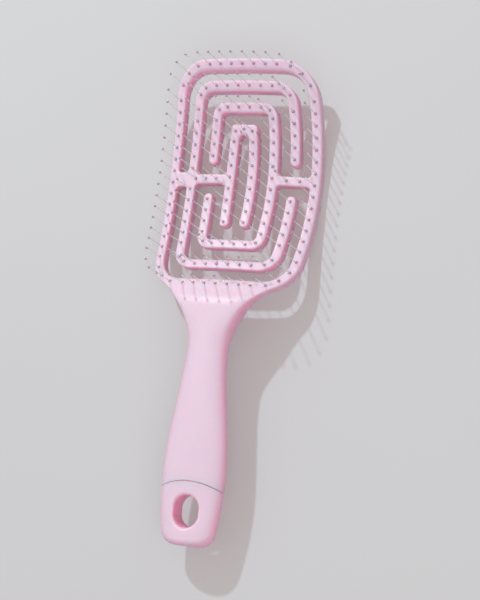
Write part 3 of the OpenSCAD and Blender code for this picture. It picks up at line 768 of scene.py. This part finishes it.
def pin_tree():
    """Ball-tipped pins on a mesh's points, a flat dark ring of painted shade at each pin's hole, and the
    flat strip that joins them along its edges.
    """
    tree = bpy.data.node_groups.new("pins on a strip", "GeometryNodeTree")
    face = tree.interface
    face.new_socket("Geometry", in_out="INPUT", socket_type="NodeSocketGeometry")
    for name in PIN_SIZES:
        face.new_socket(name, in_out="INPUT", socket_type="NodeSocketFloat")
    for name in PIN_MATERIALS:
        face.new_socket(name, in_out="INPUT", socket_type="NodeSocketMaterial")
    face.new_socket("Geometry", in_out="OUTPUT", socket_type="NodeSocketGeometry")
    nodes, links = tree.nodes, tree.links
    given = nodes.new("NodeGroupInput").outputs

    def number(operation, a, b):
        node = nodes.new("ShaderNodeMath")
        node.operation = operation
        for socket, value in zip(node.inputs, (a, b)):
            if isinstance(value, (int, float)):
                socket.default_value = value
            else:
                links.new(value, socket)
        return node.outputs[0]

    def upright(z):
        node = nodes.new("ShaderNodeCombineXYZ")
        links.new(z, node.inputs["Z"])
        return node.outputs[0]

    def marked(geometry, part):
        node = nodes.new("GeometryNodeStoreNamedAttribute")
        node.data_type = "INT"
        node.domain = "FACE"
        links.new(geometry, node.inputs["Geometry"])
        node.inputs["Name"].default_value = PART_MARK
        node.inputs["Value"].default_value = part
        return node.outputs[0]

    def painted(geometry, name, part):
        mark = nodes.new("GeometryNodeInputNamedAttribute")
        mark.data_type = "INT"
        mark.inputs["Name"].default_value = PART_MARK
        same = nodes.new("FunctionNodeCompare")
        same.data_type = "INT"
        same.operation = "EQUAL"
        whole_a, whole_b = same.inputs[2], same.inputs[3]
        links.new(mark.outputs[0], whole_a)
        whole_b.default_value = part
        node = nodes.new("GeometryNodeSetMaterial")
        links.new(geometry, node.inputs["Geometry"])
        links.new(same.outputs[0], node.inputs["Selection"])
        links.new(given[name], node.inputs["Material"])
        return node.outputs[0]

    def moved(geometry, z):
        node = nodes.new("GeometryNodeTransform")
        links.new(geometry, node.inputs["Geometry"])
        links.new(upright(z), node.inputs["Translation"])
        return node.outputs[0]

    shaft = nodes.new("GeometryNodeMeshCone")
    shaft.fill_type = "NONE"
    shaft.inputs["Vertices"].default_value = SHAFT_SIDES
    links.new(given["Neck radius"], shaft.inputs["Radius Top"])
    links.new(given["Root radius"], shaft.inputs["Radius Bottom"])
    links.new(number("ADD", given["Pin length"], given["Sunk length"]), shaft.inputs["Depth"])
    shaft_up = moved(shaft.outputs["Mesh"], number("MULTIPLY", given["Sunk length"], -1))

    ball = nodes.new("GeometryNodeMeshUVSphere")
    ball.inputs["Segments"].default_value = BALL_SEGMENTS
    ball.inputs["Rings"].default_value = BALL_RINGS
    links.new(given["Ball radius"], ball.inputs["Radius"])
    ball_up = moved(ball.outputs["Mesh"], given["Pin length"])

    pin = nodes.new("GeometryNodeJoinGeometry")
    links.new(marked(shaft_up, SHAFT), pin.inputs[0])
    links.new(marked(ball_up, TIP), pin.inputs[0])
    stand = nodes.new("GeometryNodeInstanceOnPoints")
    links.new(given["Geometry"], stand.inputs["Points"])
    links.new(pin.outputs[0], stand.inputs["Instance"])

    # A flat dark ring at each pin's hole: painted shade of the hole's mouth
    mouth = nodes.new("GeometryNodeMeshCone")
    mouth.fill_type = "NONE"
    mouth.inputs["Vertices"].default_value = MOUTH_SIDES
    links.new(given["Hole radius"], mouth.inputs["Radius Bottom"])
    mouth.inputs["Radius Top"].default_value = 0
    mouth.inputs["Depth"].default_value = 0
    mouth_up = moved(mouth.outputs["Mesh"], given["Mouth height"])
    normal = nodes.new("GeometryNodeInputNamedAttribute")
    normal.data_type = "FLOAT_VECTOR"
    normal.inputs["Name"].default_value = FACE_NORMAL
    level = nodes.new("FunctionNodeAlignRotationToVector")
    links.new(normal.outputs[0], level.inputs["Vector"])
    holes = nodes.new("GeometryNodeInstanceOnPoints")
    links.new(given["Geometry"], holes.inputs["Points"])
    links.new(marked(mouth_up, MOUTH), holes.inputs["Instance"])
    links.new(level.outputs[0], holes.inputs["Rotation"])

    line = nodes.new("GeometryNodeMeshToCurve")
    links.new(given["Geometry"], line.inputs["Mesh"])
    bar = nodes.new("GeometryNodeCurvePrimitiveQuadrilateral")
    links.new(given["Strip thickness"], bar.inputs["Width"])
    links.new(given["Strip width"], bar.inputs["Height"])
    strip = nodes.new("GeometryNodeCurveToMesh")
    links.new(line.outputs[0], strip.inputs["Curve"])
    links.new(bar.outputs[0], strip.inputs["Profile Curve"])
    strip.inputs["Fill Caps"].default_value = True
    strip_low = moved(strip.outputs[0], number("MULTIPLY", given["Sunk length"], -1))

    both = nodes.new("GeometryNodeJoinGeometry")
    links.new(stand.outputs[0], both.inputs[0])
    links.new(marked(strip_low, SHAFT), both.inputs[0])
    links.new(holes.outputs[0], both.inputs[0])
    real = nodes.new("GeometryNodeRealizeInstances")
    links.new(both.outputs[0], real.inputs[0])
    finish = real.outputs[0]
    for name, (part, _) in PIN_MATERIALS.items():
        finish = painted(finish, name, part)
    links.new(finish, nodes.new("NodeGroupOutput").inputs[0])
    return tree


def baked(name, points, normals, tree, inputs):
    """Plain mesh of a tree's result on a row of points."""
    mesh = bpy.data.meshes.new(name)
    mesh.from_pydata(points, [(k, k + 1) for k in range(len(points) - 1)], [])
    up = mesh.attributes.new(FACE_NORMAL, "FLOAT_VECTOR", "POINT")
    up.data.foreach_set("vector", [c for normal in normals for c in normal])
    carrier = bpy.data.objects.new(name + "_points", mesh)
    bpy.context.scene.collection.objects.link(carrier)
    modifier = carrier.modifiers.new("pins", "NODES")
    modifier.node_group = tree
    for item in tree.interface.items_tree:
        if item.in_out == "INPUT" and item.name in inputs:
            modifier[item.identifier] = inputs[item.name]
    bpy.context.view_layer.update()
    evaluated = carrier.evaluated_get(bpy.context.evaluated_depsgraph_get())
    result = bpy.data.meshes.new_from_object(evaluated)
    carrier.modifiers.remove(modifier)
    bpy.data.objects.remove(carrier)
    result.name = name
    result.polygons.foreach_set("use_smooth", [True] * len(result.polygons))
    obj = bpy.data.objects.new(name, result)
    bpy.context.scene.collection.objects.link(obj)
    return obj


pins_on_strip = pin_tree()
for row, places in PIN_ROWS.items():
    roots = [(x * MM, (DATUM_Y + y) * MM, float(face_z(x, y)) * MM) for x, y in places]
    normals = [face_normal(x, y) for x, y in places]
    pins = baked("pins_" + row, roots, normals, pins_on_strip, PIN_INPUTS)
    declared(pins, "pin_strip_" + row)


# Floor, light and camera, in metres. The camera is one that was fitted to the rows of pins
FLOOR_REACH = 3.0
BRUSH_MIDDLE = (0, 0, 0.015)
PHOTO_H = 600
FOCAL_PIXELS = 1699.33
SENSOR_W = 36
CAMERA_PLACE = (0.30893, -0.15205, 0.75731)
CAMERA_RIGHT = (0.92881, 0.12674, -0.34820)
CAMERA_UP = (-0.05019, 0.97406, 0.22066)

floor_signs = ((-1, -1), (1, -1), (1, 1), (-1, 1))
floor_corners = [(x * FLOOR_REACH, y * FLOOR_REACH, 0) for x, y in floor_signs]
floor_mesh = bpy.data.meshes.new("floor")
floor_mesh.from_pydata(floor_corners, [], [(0, 1, 2, 3)])
floor_mesh.materials.append(floor_paint("pale floor", lift=0.2))
floor = bpy.data.objects.new("floor", floor_mesh)
bpy.context.scene.collection.objects.link(floor)


def area_lamp(name, place, size, power, tint=(1, 1, 1)):
    lamp = bpy.data.lights.new(name, "AREA")
    lamp.shape = "DISK"
    lamp.size = size
    lamp.energy = power
    lamp.color = tint
    obj = bpy.data.objects.new(name, lamp)
    bpy.context.scene.collection.objects.link(obj)
    aim = Vector(BRUSH_MIDDLE) - Vector(place)
    obj.matrix_world = Matrix.Translation(place) @ aim.to_track_quat("-Z", "Y").to_matrix().to_4x4()


area_lamp("key", (-0.41, 0.76, 0.95), size=0.055, power=7.5, tint=(0.97, 1.0, 1.02))
area_lamp("fill", (0.5, -0.45, 0.9), size=0.8, power=2.2)

world = bpy.data.worlds.new("studio")
world.use_nodes = True
background = world.node_tree.nodes["Background"]
background.inputs["Color"].default_value = (1.0, 0.93, 0.92, 1)
background.inputs["Strength"].default_value = 0.56
bpy.context.scene.world = world
bpy.context.scene.view_settings.view_transform = "Standard"

camera_data = bpy.data.cameras.new("camera")
camera_data.sensor_fit = "AUTO"
camera_data.sensor_width = SENSOR_W
camera_data.lens = SENSOR_W * FOCAL_PIXELS / PHOTO_H
camera = bpy.data.objects.new("camera", camera_data)
bpy.context.scene.collection.objects.link(camera)
right = Vector(CAMERA_RIGHT).normalized()
back = right.cross(Vector(CAMERA_UP).normalized()).normalized()
up = back.cross(right)
turn = Matrix((right, up, back)).transposed().to_4x4()
camera.matrix_world = Matrix.Translation(CAMERA_PLACE) @ turn
bpy.context.scene.camera = camera
